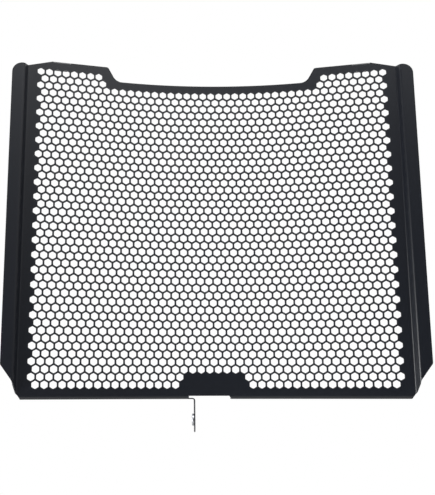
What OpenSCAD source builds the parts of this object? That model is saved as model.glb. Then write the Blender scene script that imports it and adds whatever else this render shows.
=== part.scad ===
// Radiator guard for a motorcycle: one perforated sheet, rolled and folded, with a press nut in its mounting tab.
// X runs across the guard, Y points back to the radiator and Z points up. Lengths along the sheet are measured
// on its front face, out from the middle, as on the flat blank.
// The origin is the middle of the press nut's thread.

/* [Sheet] */
// Thickness of the aluminium sheet
sheet_t = 1; // [0.8:0.1:1.6]
// Height of the middle of the guard, from the bottom edge to the top edge
middle_h = 307.7; // [260:0.5:340]
// Radius of the rolled middle, on the front face
roll_r = 421; // [360:1:600]
// Length of the rolled middle along the sheet, each side of the centre line
roll_half_l = 96.2; // [80:0.1:104]
// Length of sheet from the centre line to the first side fold
panel_half_l = 180.2; // [172:0.1:200]

/* [Ears] */
// Height of each ear above the middle of the top edge
ear_rise = 14.4; // [8:0.1:24]
// Distance along the sheet from the centre line to the ear's inner corner
ear_start = 103.1; // [98:0.1:112]
// Slope of the ear's inner edge, in degrees
ear_slope = 60; // [45:1:75]
// Radius of the hollow corner at the foot of the ear
ear_foot_r = 10; // [4:0.5:14]
// Radius of the ear's inner corner
ear_corner_r = 2.5; // [1:0.5:4]
// Length along the sheet from the end of the ear's level edge to the first side fold
ear_side_run = 22.9; // [18:0.1:30]
// Drop of the ear's edge from its level part to the first side fold
ear_side_drop = 6.2; // [2:0.1:12]

/* [Side folds] */
// Length of the strip between the two side folds
strip_l = 7.3; // [5:0.1:12]
// Angle of each side fold, in degrees
side_fold = 60; // [40:1:75]
// Length of the outer flange beyond the second side fold
side_flange_l = 11.4; // [8:0.1:18]
// Inner radius of the side folds
side_fold_r = 1.5; // [1:0.1:2.5]
// Step down from the first side fold to the flange's top edge
flange_step = 0.9; // [0.5:0.1:4]
// Radius of the flange's top corner
flange_top_r = 10; // [4:0.5:11]
// Radius of the flange's bottom corner
flange_bottom_r = 3; // [1:0.5:5]

/* [Bottom fold] */
// Depth of the bottom flange, from the front face to its back edge
bottom_flange_d = 16; // [13:0.5:24]
// Inner radius of the bottom fold
bottom_fold_r = 1.9; // [1:0.1:3]
// Length along the sheet from the bottom corner to the first side fold
bottom_inset = 3.7; // [2:0.1:8]
// Slope of the cut that runs up from the bottom corner to the side flange, in degrees
corner_slope = 54; // [40:1:65]

/* [Honeycomb] */
// Spacing of the hexagonal holes, drawn at about twice the 8 mm of the finished sheet
hole_pitch = 16.6; // [16:0.1:24]
// Width of the web between neighbouring holes
hole_web = 3.32; // [2.4:0.02:6]
// Plain border below the lowest row of holes
border_bottom = 10; // [7:0.1:14]
// Least plain border above the top row of holes
border_top = 7; // [5:0.1:12]
// Least plain border between the holes and the first side fold
border_side = 6; // [4:0.1:12]
// Half the width of the plain patch in the lowest row
patch_half_w = 31; // [20:1:60]

/* [Hooks] */
// Length along the sheet from the middle of each hook to the first side fold
hook_inset = 32.2; // [32:0.1:50]
// Width of each hook
hook_w = 16; // [10:0.5:18]
// Depth of each hook, from the front face to its back edge
hook_d = 19; // [10:0.5:24]
// Inner radius of the fold at the foot of each hook
hook_fold_r = 0.5; // [0.5:0.1:2]
// Height of each hook's top face above the edge of the ear
hook_rise = 0.5; // [0:0.1:1]
// Width of the relief cut on each side of a hook's foot
hook_relief = 0.2; // [0.2:0.1:1.5]
// Radius of each hook's back corners
hook_corner_r = 3; // [1:0.5:4]

/* [Mounting tab] */
// Distance from the centre line to the tab's nut face
tab_x = 18.7; // [14:0.1:26]
// Distance from the front face to the tab's front edge
tab_front = 3.5; // [3:0.1:4.5]
// Width of the tab, from front to back
tab_w = 11.5; // [9.5:0.1:13]
// Length of the tab below the sheet's bottom edge
tab_drop = 30.1; // [26:0.1:40]
// Inner radius of the fold at the tab's root
tab_fold_r = 1.5; // [1:0.1:2.5]
// Radius of the tab's end corners
tab_corner_r = 4; // [1:0.5:5]
// Length of flange left between the notch's end and the tab's fold
tab_root_l = 3.5; // [2:0.1:8]
// Length of the notch that the tab leaves in the bottom flange
notch_l = 37.3; // [36:0.1:44]
// Run of the notch's slanted end
notch_slant = 2.3; // [0.5:0.1:4]

/* [Press nut] */
// Outside diameter of the nut's head
nut_d = 11; // [10:0.1:11.8]
// Thickness of the nut's head
nut_h = 1.9; // [1.5:0.1:4]
// Diameter of the shank that sits in the tab
nut_shank_d = 8.7; // [8:0.1:9.4]
// Diameter of the tapped hole, the core of an M6 thread
thread_d = 5; // [4.2:0.1:5.4]
// Height of the nut's axis above the tab's end
nut_above_end = 11.3; // [8:0.1:16]

/* [Hidden] */
$fn = 96;

black_finish = "#2b2c30";
zinc = "#b9bcc0";

// Clearance that lets cuts run past a face
past = 1;

// How far a rounding arc bites past the edges that it joins, so that it crosses them
bite = 0.004;

// Steps in the arc of each side fold
fold_steps = 6;

// Heights above the lowest row of holes in the finished sheet, before the whole part moves to its origin
bottom_z = 0;
middle_top = bottom_z + middle_h;
ear_top = middle_top + ear_rise;
side_top = ear_top - ear_side_drop;
flange_top = side_top - flange_step;
roll_a = roll_half_l / roll_r * 180 / PI;
wing_l = panel_half_l - roll_half_l;
bottom_bend_r = bottom_fold_r + sheet_t;
level_end = panel_half_l - ear_side_run;
bottom_half_l = panel_half_l - bottom_inset;
hook_at = panel_half_l - hook_inset;
hook_top = ear_top + hook_rise;

// What each fold's arc takes off the straight runs beside it, on the front face
take_inside = side_fold_r * tan(side_fold / 2);
take_outside = (side_fold_r + sheet_t) * tan(side_fold / 2);
strip_out = strip_l * cos(side_fold);
flange_end = wing_l + strip_out + side_flange_l;
fold_start = wing_l - take_inside;
first_centre = [fold_start, -side_fold_r];
strip_run = strip_l - take_inside - take_outside;
second_centre = first_centre + (2 * side_fold_r + sheet_t) * [sin(side_fold), cos(side_fold)]
    + strip_run * [cos(side_fold), -sin(side_fold)];

// Height of the corner cut at a distance along the sheet from the centre line
function cut_z(along) = bottom_z + (along - bottom_half_l) * tan(corner_slope);

// Honeycomb
hole_af = hole_pitch - hole_web;
hole_r = hole_af / sqrt(3);
row_step = hole_pitch * sqrt(3) / 2;
first_row = bottom_z + border_bottom + hole_r;
row_count = floor((ear_top - border_top - hole_r - first_row) / row_step) + 1;
column_reach = ceil(panel_half_l / hole_pitch);
ear_foot = ear_start - ear_rise / tan(ear_slope);

function top_at(along) = along - hole_af / 2 > ear_start ? ear_top : middle_top;
function in_patch(along, row) = row == 0 && along < patch_half_w;
function clears_cut(along, z) = (z - cut_z(along)) * cos(corner_slope) >= hole_r + border_side;
function fits(along, row) =
    along + hole_af / 2 <= panel_half_l - border_side
    && first_row + row * row_step + hole_r <= top_at(along) - border_top
    && clears_cut(along, first_row + row * row_step)
    && !in_patch(along, row);

// Tab and nut
tab_end = bottom_z - tab_drop;
fold_x = -tab_x - tab_fold_r;
notch_start = fold_x - tab_root_l;
nut_y = tab_front + tab_w / 2;
nut_z = tab_end + nut_above_end;
nut_x = -tab_x - nut_h;
thread_l = nut_h + sheet_t;

// Section of the sheet from top to bottom: the wall, the bottom fold and its flange
module wall_section() {
    translate([0, bottom_z + bottom_bend_r])
        square([sheet_t, ear_top + past - bottom_z - bottom_bend_r]);
    translate([bottom_bend_r, bottom_z + bottom_bend_r])
        intersection() {
            difference() {
                circle(bottom_bend_r);
                circle(bottom_fold_r);
            }
            translate([-bottom_bend_r, -bottom_bend_r])
                square(bottom_bend_r);
        }
    translate([bottom_bend_r, bottom_z])
        square([bottom_flange_d - bottom_bend_r, sheet_t]);
}

function arc(centre, r, from, to) =
    [for (step = [0 : fold_steps]) let (a = from + (to - from) * step / fold_steps) centre + r * [cos(a), sin(a)]];

// Plan of the side from a distance along the wing: the two folds, the strip between them and the flange
module side_plan(from_x) {
    outer_r = side_fold_r + sheet_t;
    end = [flange_end + past, second_centre[1] - outer_r];
    polygon(concat(
        [[from_x, 0]],
        arc(first_centre, side_fold_r, 90, 90 - side_fold),
        arc(second_centre, outer_r, -90 - side_fold, -90),
        [end, end + [0, sheet_t]],
        arc(second_centre, side_fold_r, -90, -90 - side_fold),
        arc(first_centre, outer_r, 90 - side_fold, 90),
        [[from_x, sheet_t]]
    ));
}

// Moves to the end of the rolled middle, where X runs along the flat wing
module at_wing() {
    translate([0, -roll_r, 0])
        rotate([0, 0, -roll_a])
            translate([0, roll_r, 0])
                children();
}

// Moves to a place on the front face, by its length along the sheet and its height
module on_sheet(along, z) {
    if (along <= roll_half_l)
        translate([0, -roll_r, z])
            rotate([0, 0, -along / roll_r * 180 / PI])
                translate([0, roll_r, 0])
                    children();
    else
        at_wing()
            translate([along - roll_half_l, 0, z])
                children();
}

// The right half of the folded blank before its outline is cut, run past the centre line to join the left half
module half_blank() {
    side_start = fold_start - bottom_bend_r / 4;
    translate([0, -roll_r, 0])
        rotate([0, 0, 90 - roll_a])
            rotate_extrude(angle = roll_a + past / roll_r * 180 / PI)
                translate([roll_r, 0])
                    wall_section();
    at_wing() {
        rotate([90, 0, 90])
            linear_extrude(side_start)
                wall_section();
        linear_extrude(ear_top + past)
            side_plan(side_start);
    }
}

// The piece between a corner and the arc that rounds it; a and b are the directions of the two edges
module corner(point, a, b, r) {
    half = abs(b - a) / 2;
    inward = [cos((a + b) / 2), sin((a + b) / 2)];
    centre = point + r / sin(half) * inward;
    along_a = [cos(a), sin(a)];
    along_b = [cos(b), sin(b)];
    tangent_a = point + r / tan(half) * along_a;
    tangent_b = point + r / tan(half) * along_b;
    difference() {
        polygon([
            centre,
            tangent_a + past / r * (tangent_a - centre),
            point - past / sin(half) * inward,
            tangent_b + past / r * (tangent_b - centre),
        ]);
        translate(centre)
            circle(r + bite);
    }
}

// Outline of the right half, seen square to the flat wing
module half_outline() {
    start_x = -roll_half_l - bottom_flange_d;
    ear_x = ear_start - roll_half_l;
    foot_x = ear_foot - roll_half_l;
    end_z = cut_z(panel_half_l + strip_l + side_flange_l);
    difference() {
        polygon([
            [start_x, bottom_z - past],
            [bottom_half_l - roll_half_l - past / tan(corner_slope), bottom_z - past],
            [wing_l, cut_z(panel_half_l)],
            [wing_l + strip_out, cut_z(panel_half_l + strip_l)],
            [flange_end, end_z],
            [flange_end, flange_top],
            [wing_l + strip_out, flange_top],
            [wing_l, side_top],
            [level_end - roll_half_l, ear_top],
            [ear_x, ear_top],
            [foot_x, middle_top],
            [start_x, middle_top],
        ]);
        corner([flange_end, flange_top], 180, 270, flange_top_r);
        corner([flange_end, end_z], 90, 180 + corner_slope, flange_bottom_r);
        corner([ear_x, ear_top], 0, -180 + ear_slope, ear_corner_r);
    }
    corner([foot_x, middle_top], 180, ear_slope, ear_foot_r);
}

// A hook: the edge of the ear folded back over the radiator
module hook() {
    bend_r = hook_fold_r + sheet_t;
    translate([-hook_w / 2, bend_r, hook_top - bend_r])
        rotate([0, 90, 0])
            rotate([0, 0, 180])
                quarter_fold(bend_r, hook_w);
    translate([0, bend_r, hook_top - sheet_t])
        linear_extrude(sheet_t)
            difference() {
                translate([-hook_w / 2, 0])
                    square([hook_w, hook_d - bend_r]);
                corner([hook_w / 2, hook_d - bend_r], 180, 270, hook_corner_r);
                corner([-hook_w / 2, hook_d - bend_r], 0, -90, hook_corner_r);
            }
}

// A quarter of a bent sheet, as long as the fold
module quarter_fold(bend_r, length) {
    linear_extrude(length)
        intersection() {
            difference() {
                circle(bend_r);
                circle(bend_r - sheet_t);
            }
            square(bend_r);
        }
}

module half_sheet() {
    difference() {
        intersection() {
            half_blank();
            at_wing()
                rotate([90, 0, 0])
                    linear_extrude(8 * bottom_flange_d, center = true)
                        half_outline();
        }
        on_sheet(hook_at, hook_top)
            cube([hook_w + 2 * hook_relief, 4 * sheet_t, 2 * (hook_fold_r + sheet_t)], center = true);
    }
    on_sheet(hook_at, 0)
        hook();
}

module honeycomb() {
    for (row = [0 : row_count - 1])
        for (column = [-column_reach : column_reach]) {
            along = (column + (row % 2) / 2) * hole_pitch;
            if (fits(abs(along), row))
                mirror([along < 0 ? 1 : 0, 0, 0])
                    on_sheet(abs(along), first_row + row * row_step)
                        rotate([90, 30, 0])
                            cylinder(r = hole_r, h = 6 * sheet_t, center = true, $fn = 6);
        }
}

// The notch in the bottom fold and flange that the tab is cut from
module notch() {
    top = bottom_z + bottom_bend_r;
    translate([0, 2 * bottom_flange_d, 0])
        rotate([90, 0, 0])
            linear_extrude(4 * bottom_flange_d)
                polygon([
                    [notch_start, top],
                    [notch_start + notch_l, top],
                    [notch_start + notch_l + notch_slant, bottom_z],
                    [notch_start + notch_l + notch_slant, bottom_z - past],
                    [notch_start, bottom_z - past],
                ]);
}

// The tab, folded down from the bottom flange
module tab() {
    bend_r = tab_fold_r + sheet_t;
    translate([notch_start - past, tab_front, bottom_z])
        cube([tab_root_l + past, tab_w, sheet_t]);
    translate([fold_x, tab_front + tab_w, bottom_z - tab_fold_r])
        rotate([90, 0, 0])
            quarter_fold(bend_r, tab_w);
    difference() {
        translate([-tab_x, tab_front, tab_end])
            rotate([90, 0, 90])
                linear_extrude(sheet_t)
                    difference() {
                        square([tab_w, tab_drop - tab_fold_r]);
                        corner([0, 0], 0, 90, tab_corner_r);
                        corner([tab_w, 0], 90, 180, tab_corner_r);
                    }
        nut_axis()
            cylinder(d = nut_shank_d, h = 4 * sheet_t, center = true);
    }
}

// Moves to the tab's nut face, with Z along the nut's axis, away from the tab
module nut_axis() {
    translate([-tab_x, nut_y, nut_z])
        rotate([0, -90, 0])
            children();
}

// Moves the middle of the nut's thread to the origin
module to_origin() {
    translate([-nut_x - thread_l / 2, -nut_y, -nut_z])
        children();
}

module guard_sheet() {
    color(black_finish)
        to_origin() {
            difference() {
                union() {
                    half_sheet();
                    mirror([1, 0, 0])
                        half_sheet();
                }
                honeycomb();
                notch();
            }
            tab();
        }
}

module press_nut() {
    color(zinc)
        to_origin()
            nut_axis()
                difference() {
                    union() {
                        cylinder(d = nut_d, h = nut_h);
                        translate([0, 0, -sheet_t])
                            cylinder(d = nut_shank_d, h = sheet_t + nut_h / 2);
                    }
                    translate([0, 0, -sheet_t - past])
                        cylinder(d = thread_d, h = thread_l + 2 * past);
                }
}

guard_sheet();
press_nut();
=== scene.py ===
import math
import bpy
import numpy as np
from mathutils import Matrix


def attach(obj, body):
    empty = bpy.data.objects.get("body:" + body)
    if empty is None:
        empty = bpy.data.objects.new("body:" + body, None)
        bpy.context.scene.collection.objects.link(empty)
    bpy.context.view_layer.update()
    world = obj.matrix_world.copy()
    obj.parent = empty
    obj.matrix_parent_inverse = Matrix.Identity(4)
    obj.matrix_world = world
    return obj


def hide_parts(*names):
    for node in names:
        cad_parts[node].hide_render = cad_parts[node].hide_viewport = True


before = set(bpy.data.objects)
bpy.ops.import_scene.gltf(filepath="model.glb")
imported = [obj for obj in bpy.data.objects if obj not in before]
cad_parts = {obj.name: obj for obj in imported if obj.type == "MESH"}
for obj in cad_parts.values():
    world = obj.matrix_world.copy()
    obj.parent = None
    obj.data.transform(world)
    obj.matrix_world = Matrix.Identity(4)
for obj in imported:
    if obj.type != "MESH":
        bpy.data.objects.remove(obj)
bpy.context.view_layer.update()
print("frame loaded:", sorted(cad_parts))

# Lengths are in millimetres until a mesh is made. Along is the length on the sheet's front face
# from the centre line, up is the height above the bottom edge and depth is measured back from the
# front face.
mm = 0.001
rowOrigin = np.array([-19.15, 9.25, -18.8])


def linearColour(code):
    values = [int(code[i:i + 2], 16) / 255 for i in (1, 3, 5)]
    return [v / 12.92 if v <= 0.04045 else ((v + 0.055) / 1.055) ** 2.4 for v in values] + [1.0]


def addNode(tree, kind, inputs=None, **settings):
    node = tree.nodes.new(kind)
    for name, value in settings.items():
        setattr(node, name, value)
    for name, value in (inputs or {}).items():
        if isinstance(value, bpy.types.NodeSocket):
            tree.links.new(value, node.inputs[name])
        else:
            node.inputs[name].default_value = value
    return node


finishes = {
    # Sprayed dry on the bent sheet and baked: near black with a trace of blue, and satin, so that
    # the lights lie on it as soft bands. Its orange peel, with a grain of 0.35 mm, is the bump.
    "black powder coat": {
        "colour": "#15181f",
        "metallic": 0.0,
        "roughness": 0.34,
        "ior": 1.5,
        "grain": 0.35,
        "relief": 0.012,
    },
    # Plated on a turned steel nut: a light grey metal whose highlights are spread by the passivated
    # skin. Its grain is drawn at 0.6 mm, coarser than the real one, so that it shows.
    "bright zinc": {
        "colour": "#b8babf",
        "metallic": 1.0,
        "roughness": 0.4,
        "grain": 0.6,
        "relief": 0.004,
    },
    # Rolled on the studio's floor: pale, even and without gloss
    "matt floor paint": {
        "colour": "#d6d6d3",
        "metallic": 0.0,
        "roughness": 0.9,
        "grain": 2.0,
        "relief": 0.0,
    },
}
grainOctaves = 3.0
grainSharpness = 0.6


def makeFinish(name, values):
    material = bpy.data.materials.new(name)
    material.use_nodes = True
    tree = material.node_tree
    shader = tree.nodes["Principled BSDF"]
    place = addNode(tree, "ShaderNodeTexCoord")
    grain = addNode(tree, "ShaderNodeTexNoise", {
        "Vector": place.outputs["Object"],
        "Scale": 1 / (values["grain"] * mm),
        "Detail": grainOctaves,
        "Roughness": grainSharpness,
    })
    relief = addNode(tree, "ShaderNodeBump", {
        "Height": grain.outputs["Fac"],
        "Strength": 1.0,
        "Distance": values["relief"] * mm,
    })
    tree.links.new(relief.outputs["Normal"], shader.inputs["Normal"])
    shader.inputs["Base Color"].default_value = linearColour(values["colour"])
    shader.inputs["Metallic"].default_value = values["metallic"]
    shader.inputs["Roughness"].default_value = values["roughness"]
    if "ior" in values:
        shader.inputs["IOR"].default_value = values["ior"]
    return material


materials = {name: makeFinish(name, values) for name, values in finishes.items()}
print("finishes made:", len(materials))

# The sheet, cut from one blank and folded
sheet = {
    "thickness": 1.0,
    "rollRadius": 421.0,
    "rollHalf": 96.2,  # where the roll ends and the flat wing starts
    "panelHalf": 180.2,  # to the side fold
    "middleTop": 307.7,
    "earTop": 322.1,
    "earStart": 103.1,
    "earSlope": math.radians(60),
    "earFootRadius": 10.0,
    "earCornerRadius": 2.5,
    "earLevelEnd": 157.3,  # from here the ear's top edge falls to the side fold
    "sideTop": 315.9,
    "flangeTop": 315.0,
    "flangeTopRadius": 10.0,
    "flangeBottomRadius": 3.0,
    "stripLength": 7.3,  # between the two side folds
    "flangeLength": 11.4,
    "sideFold": math.radians(60),
    "sideFoldRadius": 1.5,
    "bottomHalf": 176.5,  # where the cut corner meets the bottom edge
    "bottomDepth": 16.0,
    "bottomFoldRadius": 1.9,
    "cornerSlope": math.radians(54),
    "notchLeft": -23.7,  # the tab leaves the flange here
    "notchRight": 13.6,
    "notchSlant": 2.3,
}

# The folded sheet: where a point of the flat blank goes
rollAngle = sheet["rollHalf"] / sheet["rollRadius"]
wingStart = sheet["rollRadius"] * np.array([math.sin(rollAngle), math.cos(rollAngle) - 1])
takeInside = sheet["sideFoldRadius"] * math.tan(sheet["sideFold"] / 2)
takeOutside = (sheet["sideFoldRadius"] + sheet["thickness"]) * math.tan(sheet["sideFold"] / 2)
bottomBend = sheet["bottomFoldRadius"] + sheet["thickness"]
sideRuns = [
    (sheet["panelHalf"] - sheet["rollHalf"] - takeInside, 0.0, 0.0),
    (sheet["sideFoldRadius"] * sheet["sideFold"], -sheet["sideFold"], sheet["sideFoldRadius"]),
    (sheet["stripLength"] - takeInside - takeOutside, 0.0, 0.0),
    ((sheet["sideFoldRadius"] + sheet["thickness"]) * sheet["sideFold"], sheet["sideFold"],
     sheet["sideFoldRadius"] + sheet["thickness"]),
    (sheet["flangeLength"] - takeOutside, 0.0, 0.0),
]
runStarts = sheet["rollHalf"] + np.cumsum([0.0] + [run[0] for run in sideRuns])
foldStart = runStarts[1]
sheetEnd = runStarts[5]


# Place and back normal on the front face, seen from above
def planOf(along):
    side = np.sign(along)
    run = np.abs(along)
    angle = np.minimum(run, sheet["rollHalf"]) / sheet["rollRadius"]
    place = sheet["rollRadius"] * np.stack([np.sin(angle), np.cos(angle) - 1], 1)
    heading = -angle
    for start, (length, turn, radius) in zip(runStarts, sideRuns):
        part = np.clip(run - start, 0, length)
        if turn:
            turned = turn * part / length
            chord = 2 * radius * np.sin(np.abs(turned) / 2)
            course = heading + turned / 2
            place = place + chord[:, None] * np.stack([np.cos(course), np.sin(course)], 1)
            heading = heading + turned
        else:
            place = place + part[:, None] * np.stack([np.cos(heading), np.sin(heading)], 1)
    place[:, 0] *= np.where(side < 0, -1, 1)
    back = np.stack([-np.sin(heading) * np.where(side < 0, -1, 1), np.cos(heading)], 1)
    return place, back


# Row-frame points in metres for places along the sheet, at a height and a depth
def standUp(along, up, depth):
    place, back = planOf(along)
    flat = place + depth[:, None] * back
    return (np.stack([flat[:, 0], flat[:, 1], up], 1) - rowOrigin) * mm


# Height and depth of blank points, folded back below the bottom bend
def foldBottom(up, inside):
    below = bottomBend - up
    turned = np.clip(below / bottomBend, 0, math.pi / 2)
    radius = bottomBend - inside
    level = below - bottomBend * math.pi / 2
    run = np.maximum(level, 0)
    height = np.where(below <= 0, up, bottomBend - radius * np.sin(turned))
    depth = np.where(below <= 0, inside, bottomBend - radius * np.cos(turned) + run)
    return height, depth


# Points of the arc that rounds a corner, from the edge that comes in to the edge that goes out
def rounded(point, inward, outward, radius, steps):
    point, inward, outward = (np.array(v, float) for v in (point, inward, outward))
    first = (inward - point) / np.linalg.norm(inward - point)
    last = (outward - point) / np.linalg.norm(outward - point)
    half = math.acos(float(first @ last)) / 2
    middle = (first + last) / np.linalg.norm(first + last)
    centre = point + radius / math.sin(half) * middle
    start = point + radius / math.tan(half) * first - centre
    end = point + radius / math.tan(half) * last - centre
    sweep = math.pi - 2 * half
    return [
        centre + (math.sin(sweep * (1 - t)) * start + math.sin(sweep * t) * end) / math.sin(sweep)
        for t in np.linspace(0, 1, steps)
    ]


# The same open line with points no further apart than step
def subdivide(points, step):
    line = [np.array(points[0], float)]
    for point in points[1:]:
        point = np.array(point, float)
        count = max(1, math.ceil(np.linalg.norm(point - line[-1]) / step - 1e-6))
        start = line[-1]
        line += [start + (point - start) * k / count for k in range(1, count + 1)]
    return line


def cutUp(along):
    return (along - sheet["bottomHalf"]) * math.tan(sheet["cornerSlope"])


def sideTopUp(along):
    drop = (sheet["earTop"] - sheet["sideTop"]) / (sheet["panelHalf"] - sheet["earLevelEnd"])
    return sheet["earTop"] - drop * (along - sheet["earLevelEnd"])


# The hooks' cuts belong to the panel's outline, and the hooks themselves come later
hooks = {
    "at": 148.0,
    "width": 16.0,
    "depth": 19.0,
    "foldRadius": 0.5,
    "rise": 0.5,  # above the ear's top edge
    "relief": 0.2,  # gap to the cut at each side
    "cornerRadius": 3.0,
}

# How finely the outline and the folds are divided
fineness = {
    "footSteps": 9,
    "cornerSteps": 5,
    "edgeStep": 3.0,
    "sideRunSteps": (6, 3, 6, 2),  # first fold, strip, second fold and flange
    "leastStep": 0.3,
    "sideRows": 64,
    "bottomSteps": 60,
    "foldSteps": 8,
    "flangeArcSteps": 12,
    "bottomFlangeSteps": 4,
    "tabRootSteps": 2,
    "tabEdgeStep": 1.2,
    "tabCornerSteps": 8,
    "tabColumns": 7,
    "hookColumns": 5,
    "hookCornerSteps": 7,
}

# Outline of the flat panel between the folds
earRise = sheet["earTop"] - sheet["middleTop"]
earFoot = (sheet["earStart"] - earRise / math.tan(sheet["earSlope"]), sheet["middleTop"])
hookFrom = hooks["at"] - hooks["width"] / 2 - hooks["relief"]
hookTo = hooks["at"] + hooks["width"] / 2 + hooks["relief"]
hookBend = hooks["foldRadius"] + sheet["thickness"]
hookFoot = sheet["earTop"] + hooks["rise"] - hookBend
topMiddle = (0, sheet["middleTop"])
earCorner = (sheet["earStart"], sheet["earTop"])
levelPoint = (sheet["earLevelEnd"], sheet["earTop"])
topRight = subdivide(
    [topMiddle]
    + rounded(earFoot, topMiddle, earCorner, sheet["earFootRadius"], fineness["footSteps"])
    + rounded(earCorner, earFoot, levelPoint, sheet["earCornerRadius"], fineness["cornerSteps"])
    + [
        (hookFrom, sheet["earTop"]),
        (hookFrom, hookFoot),
        (hookTo, hookFoot),
        (hookTo, sheet["earTop"]),
        levelPoint,
        (foldStart, sideTopUp(foldStart)),
    ],
    fineness["edgeStep"],
)
sideUps = np.linspace(sideTopUp(foldStart), cutUp(foldStart), fineness["sideRows"] + 1)[1:]
sideEdge = [np.array((foldStart, up)) for up in sideUps]
bendEnd = sheet["bottomHalf"] + bottomBend / math.tan(sheet["cornerSlope"])


def alongFromX(x, depth):
    return sheet["rollRadius"] * math.asin(x / (sheet["rollRadius"] + depth))


leftStops = (-bendEnd, alongFromX(sheet["notchLeft"], 0))
rightStops = (alongFromX(sheet["notchRight"], 0), bendEnd)
bottomStations = fineness["bottomSteps"] + 1
bottomLeft = [np.array((a, bottomBend)) for a in np.linspace(*leftStops, bottomStations)]
bottomRight = [np.array((a, bottomBend)) for a in np.linspace(*rightStops, bottomStations)]
notchEdge = subdivide([bottomRight[0], bottomLeft[-1]], fineness["edgeStep"])[1:-1]
mirrored = [point * (-1, 1) for point in (topRight + sideEdge)[::-1]]
outline = topRight + sideEdge + bottomRight[::-1] + notchEdge + bottomLeft[::-1] + mirrored[:-1]


def gridFaces(rows, columns):
    index = np.arange(rows * columns).reshape(rows, columns)
    corners = [index[:-1, :-1], index[:-1, 1:], index[1:, 1:], index[1:, :-1]]
    return np.stack([c.ravel() for c in corners], 1)


# The same faces, all turned counter-clockwise in the flat blank
def upwardFaces(points, faces):
    a, b, c = points[faces[:, 0]], points[faces[:, 1]], points[faces[:, 2]]
    turn = (b[:, 0] - a[:, 0]) * (c[:, 1] - a[:, 1]) - (b[:, 1] - a[:, 1]) * (c[:, 0] - a[:, 0])
    return np.where(turn[:, None] < 0, faces[:, ::-1], faces)


# The right side of the flat blank, from the first fold to the flange's edge
def sideGrid():
    steps = [
        np.linspace(runStarts[run], runStarts[run + 1], count + 1)[:-1]
        for run, count in enumerate(fineness["sideRunSteps"], 1)
    ]
    radius = sheet["flangeTopRadius"]
    arc = sheetEnd - radius * (1 - np.sin(np.linspace(0, math.pi / 2, fineness["flangeArcSteps"])))
    flange = [a for a in steps[3] if a < arc[0] - fineness["leastStep"]]
    alongs = np.concatenate([steps[0], steps[1], steps[2], flange, arc])
    place, _ = planOf(alongs)
    wing = np.array([math.cos(rollAngle), -math.sin(rollAngle)])
    across = (place - wingStart) @ wing + sheet["rollHalf"]
    stripOut = sheet["stripLength"] * math.cos(sheet["sideFold"])
    flangeEnd = sheet["panelHalf"] + stripOut + sheet["flangeLength"]
    stops = [sheet["rollHalf"], sheet["panelHalf"], sheet["panelHalf"] + stripOut, flangeEnd]
    developed = [sheet["rollHalf"], sheet["panelHalf"], sheet["panelHalf"] + sheet["stripLength"],
                 sheet["panelHalf"] + sheet["stripLength"] + sheet["flangeLength"]]
    low = cutUp(np.interp(across, stops, developed))
    high = np.interp(across, [sheet["earLevelEnd"], *stops[1:]],
                     [sheet["earTop"], sheet["sideTop"], sheet["flangeTop"], sheet["flangeTop"]])
    inset = np.clip(radius - (flangeEnd - across), 0, radius)
    high = high - (radius - np.sqrt(radius ** 2 - inset ** 2))
    small = sheet["flangeBottomRadius"]
    slope = sheet["cornerSlope"]
    centreUp = cutUp(developed[3] - small) + small / math.cos(slope)
    off = across - (flangeEnd - small)
    arcLow = centreUp - np.sqrt(np.maximum(small ** 2 - np.clip(off, 0, small) ** 2, 0))
    low = np.where(off > small * math.sin(slope), arcLow, low)
    share = np.linspace(0, 1, fineness["sideRows"] + 1)[:, None]
    ups = high + (low - high) * share
    points = np.stack([np.broadcast_to(alongs, ups.shape).ravel(), ups.ravel()], 1)
    return points, gridFaces(*ups.shape)


# One half of the bottom fold and flange in the flat blank
def bottomGrid(toLeft):
    foldLength = bottomBend * math.pi / 2
    flangeLength = sheet["bottomDepth"] - bottomBend
    flangeStops = np.linspace(0, flangeLength, fineness["bottomFlangeSteps"] + 1)[1:]
    foldStops = np.linspace(0, foldLength, fineness["foldSteps"] + 1)
    below = np.concatenate([foldStops, foldLength + flangeStops])
    height, depth = foldBottom(bottomBend - below, np.zeros(len(below)))
    points = []
    for drop, up, back in zip(below, height, depth):
        outer = sheet["bottomHalf"] + up / math.tan(sheet["cornerSlope"])
        if toLeft:
            stops = (-outer, alongFromX(sheet["notchLeft"], back))
        else:
            slant = sheet["notchSlant"] * (1 - up / bottomBend)
            stops = (alongFromX(sheet["notchRight"] + slant, back), outer)
        points += [(a, bottomBend - drop) for a in np.linspace(*stops, bottomStations)]
    return np.array(points), gridFaces(len(below), bottomStations)


def makeMesh(name, points, faces):
    mesh = bpy.data.meshes.new(name)
    places = [tuple(map(float, point)) for point in points]
    mesh.from_pydata(places, [], [tuple(map(int, face)) for face in faces])
    mesh.update()
    return mesh


# Stacks (points, faces) pairs into one pair
def joinParts(parts):
    points, faces, count = [], [], 0
    for somePoints, someFaces in parts:
        points.append(np.asarray(somePoints, float))
        faces += [tuple(int(i) + count for i in face) for face in someFaces]
        count += len(somePoints)
    return np.concatenate(points), faces


sidePoints, sideFaces = sideGrid()
borderParts = [
    (sidePoints, upwardFaces(sidePoints, sideFaces)),
    (sidePoints * (-1, 1), upwardFaces(sidePoints * (-1, 1), sideFaces)),
]
for toLeft in (True, False):
    bottomPoints, bottomFaces = bottomGrid(toLeft)
    borderParts.append((bottomPoints, upwardFaces(bottomPoints, bottomFaces)))
borderPoints, borderFaces = joinParts(borderParts)
borderPoints = np.hstack([borderPoints, np.zeros((len(borderPoints), 1))])

outlineMesh = bpy.data.meshes.new("panelOutline")
loop = [(float(p[0]), float(p[1]), 0.0) for p in outline]
outlineMesh.from_pydata(loop, [(i, (i + 1) % len(loop)) for i in range(len(loop))], [])
outlineObject = bpy.data.objects.new("panelOutline", outlineMesh)
bpy.context.scene.collection.objects.link(outlineObject)
print("flat blank: outline of", len(loop), "points, border of", len(borderFaces), "faces")


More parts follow.
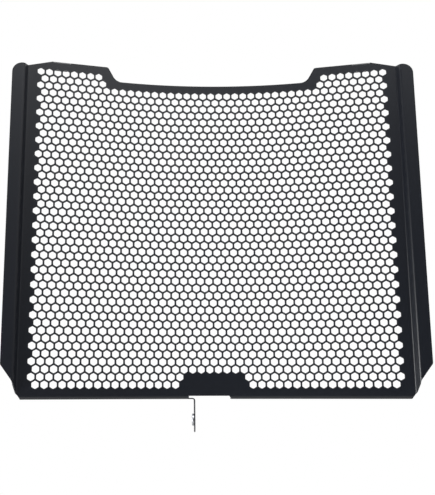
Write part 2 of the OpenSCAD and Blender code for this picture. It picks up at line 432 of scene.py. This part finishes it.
honeycomb = {
    "Pitch": 8.0,
    "Hole width": 6.4,
    "Hole corner": 0.7,
    "Columns": 43,
    "Rows": 44,
    "First row": 13.0,
    "Ear from": 107.0,
    "Ear rows": 2,
    "Patch half width": 30.0,
    "Patch rows": 2,
    "Thickness": sheet["thickness"],
}
weldReach = 0.002


# Punches the panel with the honeycomb, joins the border and gives the sheet its thickness
def honeycombTree():
    tree = bpy.data.node_groups.new("honeycombSheet", "GeometryNodeTree")
    face = tree.interface
    face.new_socket("Border", in_out="INPUT", socket_type="NodeSocketGeometry")
    face.new_socket("Outline", in_out="INPUT", socket_type="NodeSocketObject")
    for name, value in honeycomb.items():
        kind = "NodeSocketInt" if isinstance(value, int) else "NodeSocketFloat"
        face.new_socket(name, in_out="INPUT", socket_type=kind)
    face.new_socket("Finish", in_out="INPUT", socket_type="NodeSocketMaterial")
    face.new_socket("Sheet", in_out="OUTPUT", socket_type="NodeSocketGeometry")
    given = addNode(tree, "NodeGroupInput").outputs

    def calc(operation, a, b=0.0):
        return addNode(tree, "ShaderNodeMath", {0: a, 1: b}, operation=operation).outputs[0]

    def both(operation, a, b):
        node = addNode(tree, "FunctionNodeBooleanMath", {0: a, 1: b}, operation=operation)
        return node.outputs[0]

    def compare(operation, a, b):
        settings = {"data_type": "FLOAT", "operation": operation}
        return addNode(tree, "FunctionNodeCompare", {0: a, 1: b}, **settings).outputs[0]

    index = addNode(tree, "GeometryNodeInputIndex").outputs[0]
    row = calc("FLOOR", calc("DIVIDE", calc("ADD", index, 0.5), given["Columns"]))
    column = calc("SUBTRACT", index, calc("MULTIPLY", row, given["Columns"]))
    reach = calc("DIVIDE", calc("SUBTRACT", given["Columns"], 1.0), 2.0)
    shift = calc("MULTIPLY", calc("SUBTRACT", 1.0, calc("MODULO", row, 2.0)), 0.5)
    steps = calc("ADD", calc("SUBTRACT", column, reach), shift)
    along = calc("MULTIPLY", steps, given["Pitch"])
    rowStep = calc("MULTIPLY", given["Pitch"], math.sqrt(3) / 2)
    up = calc("ADD", given["First row"], calc("MULTIPLY", row, rowStep))
    spot = addNode(tree, "ShaderNodeCombineXYZ", {"X": along, "Y": up}).outputs[0]
    count = calc("MULTIPLY", given["Columns"], given["Rows"])
    grid = addNode(tree, "GeometryNodePoints", {"Count": count, "Position": spot}).outputs[0]

    position = addNode(tree, "GeometryNodeInputPosition").outputs[0]
    out = calc("ABSOLUTE", addNode(tree, "ShaderNodeSeparateXYZ", {0: position}).outputs["X"])
    limit = calc("MULTIPLY", calc("ADD", reach, 0.25), given["Pitch"])
    surplus = compare("GREATER_THAN", out, limit)
    fullRows = calc("SUBTRACT", given["Rows"], given["Ear rows"])
    earRow = compare("GREATER_THAN", row, calc("SUBTRACT", fullRows, 0.5))
    noEar = both("AND", earRow, compare("LESS_THAN", out, given["Ear from"]))
    patchRow = compare("LESS_THAN", row, calc("SUBTRACT", given["Patch rows"], 0.5))
    inPatch = both("AND", patchRow, compare("LESS_THAN", out, given["Patch half width"]))
    unwanted = both("OR", both("OR", surplus, noEar), inPatch)
    spots = addNode(tree, "GeometryNodeDeleteGeometry", {
        "Geometry": grid,
        "Selection": unwanted,
    }, domain="POINT")

    radius = calc("DIVIDE", given["Hole width"], math.sqrt(3))
    circle = addNode(tree, "GeometryNodeCurvePrimitiveCircle", {"Resolution": 6, "Radius": radius})
    upright = addNode(tree, "GeometryNodeTransform", {
        "Geometry": circle.outputs[0],
        "Rotation": (0.0, 0.0, math.pi / 6),
    })
    hexagon = addNode(tree, "GeometryNodeFilletCurve", {
        "Curve": upright.outputs[0],
        "Radius": given["Hole corner"],
    })
    holes = addNode(tree, "GeometryNodeInstanceOnPoints", {
        "Points": spots.outputs[0],
        "Instance": hexagon.outputs[0],
    })
    punched = addNode(tree, "GeometryNodeRealizeInstances", {0: holes.outputs[0]})
    edge = addNode(tree, "GeometryNodeObjectInfo", {
        "Object": given["Outline"],
    }, transform_space="ORIGINAL")
    edgeCurve = addNode(tree, "GeometryNodeMeshToCurve", {"Mesh": edge.outputs["Geometry"]})
    curves = addNode(tree, "GeometryNodeJoinGeometry")
    tree.links.new(punched.outputs[0], curves.inputs[0])
    tree.links.new(edgeCurve.outputs[0], curves.inputs[0])
    panel = addNode(tree, "GeometryNodeFillCurve", {"Curve": curves.outputs[0]})

    blank = addNode(tree, "GeometryNodeJoinGeometry")
    tree.links.new(panel.outputs[0], blank.inputs[0])
    tree.links.new(given["Border"], blank.inputs[0])
    oneSkin = addNode(tree, "GeometryNodeMergeByDistance", {
        "Geometry": blank.outputs[0],
        "Distance": weldReach,
    })
    back = addNode(tree, "GeometryNodeExtrudeMesh", {
        "Mesh": oneSkin.outputs[0],
        "Offset Scale": given["Thickness"],
        "Individual": False,
    }, mode="FACES")
    front = addNode(tree, "GeometryNodeFlipFaces", {"Mesh": oneSkin.outputs[0]})
    skins = addNode(tree, "GeometryNodeJoinGeometry")
    tree.links.new(back.outputs["Mesh"], skins.inputs[0])
    tree.links.new(front.outputs[0], skins.inputs[0])
    solid = addNode(tree, "GeometryNodeMergeByDistance", {
        "Geometry": skins.outputs[0],
        "Distance": weldReach,
    })
    real = addNode(tree, "GeometryNodeRealizeInstances", {0: solid.outputs[0]})
    finish = addNode(tree, "GeometryNodeSetMaterial", {
        "Geometry": real.outputs[0],
        "Material": given["Finish"],
    })
    result = addNode(tree, "NodeGroupOutput")
    tree.links.new(finish.outputs[0], result.inputs["Sheet"])
    return tree


# The flat blank with its holes, as points (along, up, inside) and faces
def punchedBlank():
    holder = bpy.data.objects.new("flatBlank", makeMesh("flatBlank", borderPoints, borderFaces))
    bpy.context.scene.collection.objects.link(holder)
    modifier = holder.modifiers.new("honeycomb", "NODES")
    tree = honeycombTree()
    inputs = [item for item in tree.interface.items_tree if item.in_out == "INPUT"]
    sockets = {item.name: item.identifier for item in inputs}
    modifier.node_group = tree
    modifier[sockets["Outline"]] = outlineObject
    modifier[sockets["Finish"]] = materials["black powder coat"]
    for name, value in honeycomb.items():
        modifier[sockets[name]] = value
    bpy.context.view_layer.update()
    evaluated = holder.evaluated_get(bpy.context.evaluated_depsgraph_get())
    made = bpy.data.meshes.new_from_object(evaluated)
    points = np.zeros(len(made.vertices) * 3)
    made.vertices.foreach_get("co", points)
    faces = [tuple(polygon.vertices) for polygon in made.polygons]
    holder.modifiers.clear()
    bpy.data.objects.remove(holder)
    bpy.data.objects.remove(outlineObject)
    bpy.data.meshes.remove(made)
    return points.reshape(-1, 3), faces


# Front skin, back skin and edge walls of a flat shape, as points (a, b, inside) and faces
def thicken(points, faces):
    count = len(points)
    skins = np.vstack([
        np.hstack([points, np.zeros((count, 1))]),
        np.hstack([points, np.full((count, 1), sheet["thickness"])]),
    ])
    seen = {}
    for face in faces:
        for a, b in zip(face, np.roll(face, -1)):
            seen[(int(a), int(b))] = True
    solid = [tuple(int(i) for i in face[::-1]) for face in faces]
    solid += [tuple(int(i) + count for i in face) for face in faces]
    solid += [(a, b, b + count, a + count) for a, b in seen if (b, a) not in seen]
    return skins, solid


# A hook: a strip that folds back from the ear's top edge
def hookPart(side):
    foldLength = hookBend * math.pi / 2
    plate = hooks["depth"] - hookBend
    radius = hooks["cornerRadius"]
    turns = np.linspace(0, math.pi / 2, fineness["hookCornerSteps"])
    rounding = foldLength + plate - radius * (1 - np.sin(turns))
    runs = np.concatenate([np.linspace(0, foldLength, fineness["foldSteps"] + 1), rounding])
    columns = fineness["hookColumns"]
    points = []
    for run in runs:
        inset = max(0.0, radius - (foldLength + plate - run))
        half = hooks["width"] / 2 - (radius - math.sqrt(radius ** 2 - inset ** 2))
        points += [(a, run) for a in np.linspace(-half, half, columns)]
    flat = np.array(points)
    faces = upwardFaces(flat, gridFaces(len(runs), columns))
    solid, solidFaces = thicken(flat, faces)
    run, inside = solid[:, 1], solid[:, 2]
    turned = np.clip(run / hookBend, 0, math.pi / 2)
    radius = hookBend - inside
    up = hookFoot + radius * np.sin(turned)
    depth = hookBend - radius * np.cos(turned) + np.maximum(run - foldLength, 0)
    placed = standUp(side * (hooks["at"] + solid[:, 0]), up, depth)
    return placed, [f[::-1] for f in solidFaces] if side > 0 else solidFaces


tab = {
    "face": -18.7,
    "front": 3.5,
    "width": 11.5,
    "end": -30.1,
    "foldRadius": 1.5,
    "cornerRadius": 4.0,
    "holeRadius": 4.35,
    "holeUp": -18.8,
}

# The mounting tab: it leaves the bottom flange at the notch, folds down and carries the nut
def tabPart():
    bend = tab["foldRadius"]
    foldX = tab["face"] - bend
    foldLength = bend * math.pi / 2
    root = foldX - sheet["notchLeft"]
    front, back = tab["front"], tab["front"] + tab["width"]
    foldStops = np.linspace(0, foldLength, fineness["foldSteps"] + 1)[1:]
    runs = np.concatenate([np.linspace(0, root, fineness["tabRootSteps"] + 1), root + foldStops])
    across = np.linspace(front, back, fineness["tabColumns"])
    upper = np.array([(y, -run) for run in runs for y in across])
    upperFaces = upwardFaces(upper, gridFaces(len(runs), len(across)))
    dropStart = root + foldLength
    length = dropStart + (-bend - tab["end"])
    corner = tab["cornerRadius"]
    edge = [(y, -dropStart) for y in across]
    steps = fineness["tabCornerSteps"]
    edge += rounded((back, -length), (back, -dropStart), (front, -length), corner, steps)
    edge += rounded((front, -length), (back, -length), (front, -dropStart), corner, steps)
    rim = np.array(subdivide(edge + [edge[0]], fineness["tabEdgeStep"])[:-1])
    middle = np.array([(front + back) / 2, -(dropStart + (-bend - tab["holeUp"]))])
    outward = (rim - middle) / np.linalg.norm(rim - middle, axis=1)[:, None]
    hole = middle + tab["holeRadius"] * outward
    count = len(rim)
    lower = np.vstack([rim, hole])
    ring = [(i, (i + 1) % count, (i + 1) % count + count, i + count) for i in range(count)]
    flat, faces = joinParts([(upper, upperFaces), (lower, upwardFaces(lower, np.array(ring)))])
    keys = np.round(flat, 5)
    unique, index = np.unique(keys, axis=0, return_inverse=True)
    faces = [tuple(int(index.ravel()[i]) for i in face) for face in faces]
    solid, solidFaces = thicken(unique, faces)
    run, inside = -solid[:, 1], solid[:, 2]
    turned = np.clip((run - root) / bend, 0, math.pi / 2)
    radius = bend + inside
    drop = np.maximum(run - dropStart, 0)
    x = np.where(run <= root, sheet["notchLeft"] + run, foldX + radius * np.sin(turned))
    up = np.where(run <= root, inside, -bend + radius * np.cos(turned) - drop)
    placed = (np.stack([x, solid[:, 0], up], 1) - rowOrigin) * mm
    return placed, solidFaces


# One smooth-shaded object from (points, faces) parts, with sharp edges where its faces turn by more
sharpFrom = math.radians(34)


def finishedPiece(name, parts, material):
    points, faces = joinParts(parts)
    mesh = makeMesh(name, points, faces)
    mesh.materials.append(material)
    mesh.shade_smooth()
    mesh.set_sharp_from_angle(angle=sharpFrom)
    made = bpy.data.objects.new(name, mesh)
    bpy.context.scene.collection.objects.link(made)
    return made


blankPoints, blankFaces = punchedBlank()
print("punched blank:", len(blankPoints), "points,", len(blankFaces), "faces")
height, depth = foldBottom(blankPoints[:, 1], blankPoints[:, 2])
folded = standUp(blankPoints[:, 0], height, depth)
guardSheet = finishedPiece(
    "guardSheet",
    [(folded, [face[::-1] for face in blankFaces]), hookPart(1), hookPart(-1), tabPart()],
    materials["black powder coat"],
)
guardSheet.data.validate()
print("guard sheet folded:", len(guardSheet.data.polygons), "faces")


pressNut = {
    "headRadius": 5.5,
    "headLength": 1.9,
    "shankRadius": 4.35,
    "length": 2.9,
    "chamfer": 0.35,
    "coreRadius": 2.5,
    "threadDepth": 0.45,
    "threadPitch": 1.0,
    "crestWidth": 0.15,
    "flankSlope": 2.6,
    "leadIn": 0.4,
    "edgeBreak": 0.1,
    "turnSteps": 64,
    "boreRings": 30,
}

# The press nut, turned about the X axis, with a cut thread inside
def nutPart():
    steps = pressNut["turnSteps"]
    half = pressNut["length"] / 2
    headEnd = -half + pressNut["headLength"]
    chamfer = pressNut["chamfer"]
    outside = [
        (-half, pressNut["headRadius"] - chamfer),
        (-half + chamfer, pressNut["headRadius"]),
        (headEnd - pressNut["edgeBreak"], pressNut["headRadius"]),
        (headEnd, pressNut["headRadius"] - pressNut["edgeBreak"]),
        (headEnd, pressNut["shankRadius"]),
        (half, pressNut["shankRadius"]),
    ]
    turns = 2 * math.pi * np.arange(steps) / steps
    points = [(x, r * math.cos(a), r * math.sin(a)) for x, r in outside for a in turns]
    for x in np.linspace(half, -half, pressNut["boreRings"]):
        phase = (x / pressNut["threadPitch"] - turns / (2 * math.pi)) % 1
        flank = np.abs(phase - 0.5) * pressNut["flankSlope"] - pressNut["crestWidth"]
        cut = 1 - np.clip(flank, 0, 1)
        lead = np.clip((abs(x) - half + pressNut["leadIn"]) / pressNut["leadIn"], 0, 1)
        radii = pressNut["coreRadius"] + pressNut["threadDepth"] * np.maximum(cut, lead)
        points += [(x, r * math.cos(a), r * math.sin(a)) for r, a in zip(radii, turns)]
    rings = len(points) // steps
    faces = []
    for ring in range(rings):
        here, there = ring * steps, (ring + 1) % rings * steps
        for i in range(steps):
            j = (i + 1) % steps
            faces.append((here + i, here + j, there + j, there + i))
    return np.array(points) * mm, faces


nut = finishedPiece("pressNut", [nutPart()], materials["bright zinc"])
print("press nut turned:", len(nut.data.polygons), "faces")


# Surroundings: white behind the guard, as in the photograph's view, and a dim room in front of it
# that brightens upwards and to the right. A direction's strength is the sum of the patches, each a
# product of ramps along an axis. The camera sees white all round.
surroundings = [
    {"strength": 1.0, "ramps": [("Y", -0.15, 0.15)]},
    {"strength": 0.75, "ramps": [("Y", 0.15, -0.15), ("Z", 0.0, 0.5), ("X", -0.2, 0.4)]},
    {"strength": 0.2, "ramps": [("X", -0.5, -0.8), ("Z", 0.5, 0.2)]},
    {"strength": 0.2, "ramps": [("X", 0.5, 0.8), ("Z", 0.5, 0.2)]},
]
world = bpy.data.worlds.new("studio")
bpy.context.scene.world = world
world.use_nodes = True
tree = world.node_tree
tree.nodes.clear()
direction = addNode(tree, "ShaderNodeTexCoord")
axes = addNode(tree, "ShaderNodeSeparateXYZ", {0: direction.outputs["Generated"]})
total = 0.0
for patch in surroundings:
    share = patch["strength"]
    for axis, start, end in patch["ramps"]:
        ramp = addNode(tree, "ShaderNodeMapRange", {
            "Value": axes.outputs[axis],
            "From Min": start,
            "From Max": end,
        })
        inputs = {0: ramp.outputs[0], 1: share}
        share = addNode(tree, "ShaderNodeMath", inputs, operation="MULTIPLY").outputs[0]
    total = addNode(tree, "ShaderNodeMath", {0: share, 1: total}, operation="ADD").outputs[0]
seen = addNode(tree, "ShaderNodeLightPath").outputs["Is Camera Ray"]
strength = addNode(tree, "ShaderNodeMath", {0: total, 1: seen}, operation="MAXIMUM").outputs[0]
around = addNode(tree, "ShaderNodeBackground", {
    "Color": linearColour("#ffffff"),
    "Strength": strength,
})
addNode(tree, "ShaderNodeOutputWorld", {"Surface": around.outputs[0]})

# The floor lies well below the guard and out of the photograph's view, and fades into the white
# around it
floor = {
    "height": -0.36,
    "half": 1.5,
    "fade": (1.0, 1.45),  # from the middle of the floor, in metres
}
tree = materials["matt floor paint"].node_tree
spot = addNode(tree, "ShaderNodeTexCoord")
reach = addNode(tree, "ShaderNodeVectorMath", {0: spot.outputs["Object"]}, operation="LENGTH")
fade = addNode(tree, "ShaderNodeMapRange", {
    "Value": reach.outputs["Value"],
    "From Min": floor["fade"][0],
    "From Max": floor["fade"][1],
})
gone = addNode(tree, "ShaderNodeBsdfTransparent")
mixed = addNode(tree, "ShaderNodeMixShader", {0: fade.outputs[0]})
tree.links.new(tree.nodes["Principled BSDF"].outputs[0], mixed.inputs[1])
tree.links.new(gone.outputs[0], mixed.inputs[2])
tree.links.new(mixed.outputs[0], tree.nodes["Material Output"].inputs["Surface"])
half = floor["half"]
floorCorners = [(-half, -half, 0), (half, -half, 0), (half, half, 0), (-half, half, 0)]
floorMesh = makeMesh("floor", floorCorners, [(0, 1, 2, 3)])
floorMesh.materials.append(materials["matt floor paint"])
floorObject = bpy.data.objects.new("floor", floorMesh)
floorObject.location = (0.0, 0.0, floor["height"])
bpy.context.scene.collection.objects.link(floorObject)
print("surroundings and floor set")

# Lamps, in metres and watts: one softbox above, and a strip and a card at the left that draw the
# side folds
lights = {
    "topSoftbox": {
        "place": (0.1, -0.7, 1.3),
        "aim": (0.02, 0.0, 0.25),
        "size": (1.0, 0.6),
        "power": 13.5,
    },
    "leftStrip": {
        "place": (-1.1, -0.75, 0.02),
        "aim": (0.15, 0.0, 0.05),
        "size": (0.5, 0.16),
        "power": 6.0,
    },
    "lowLeftCard": {
        "place": (-0.9, -0.35, -0.15),
        "aim": (0.19, -0.03, 0.02),
        "size": (0.3, 0.3),
        "power": 7.0,
    },
}
for name, values in lights.items():
    data = bpy.data.lights.new(name, "AREA")
    data.shape = "RECTANGLE"
    data.size, data.size_y = values["size"]
    data.energy = values["power"]
    light = bpy.data.objects.new(name, data)
    light.location = values["place"]
    offset = np.array(values["aim"]) - np.array(values["place"])
    tilt = math.atan2(math.hypot(offset[0], offset[1]), -offset[2])
    light.rotation_euler = (tilt, 0.0, math.atan2(-offset[0], offset[1]))
    light.visible_camera = False
    bpy.context.scene.collection.objects.link(light)
print("lights set:", len(lights))

# The photograph's view, solved from the grid of holes. The pixels are those of its frame.
camera = {
    "place": (-0.02754, -0.67895, 0.02647),
    "angles": (1.756106, 0.00186, -0.01112),
    "focalPixels": 710.976,
    "centrePixels": (172.084, 257.398),
    "framePixels": (435, 495),
    "sensor": 36.0,
    "clip": (0.01, 20.0),
}
width, tall = camera["framePixels"]
lens = bpy.data.cameras.new("camera")
lens.sensor_fit = "AUTO"
lens.sensor_width = camera["sensor"]
lens.lens = camera["focalPixels"] * camera["sensor"] / max(width, tall)
lens.shift_x = (width / 2 - camera["centrePixels"][0]) / max(width, tall)
lens.shift_y = (camera["centrePixels"][1] - tall / 2) / max(width, tall)
lens.clip_start, lens.clip_end = camera["clip"]
eye = bpy.data.objects.new("camera", lens)
eye.location = camera["place"]
eye.rotation_euler = camera["angles"]
bpy.context.scene.collection.objects.link(eye)
bpy.context.scene.camera = eye
print("camera placed")

bpy.context.scene.view_settings.view_transform = "Standard"

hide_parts("guard_sheet")
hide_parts("press_nut")
for piece in (guardSheet, nut):
    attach(piece, "root")
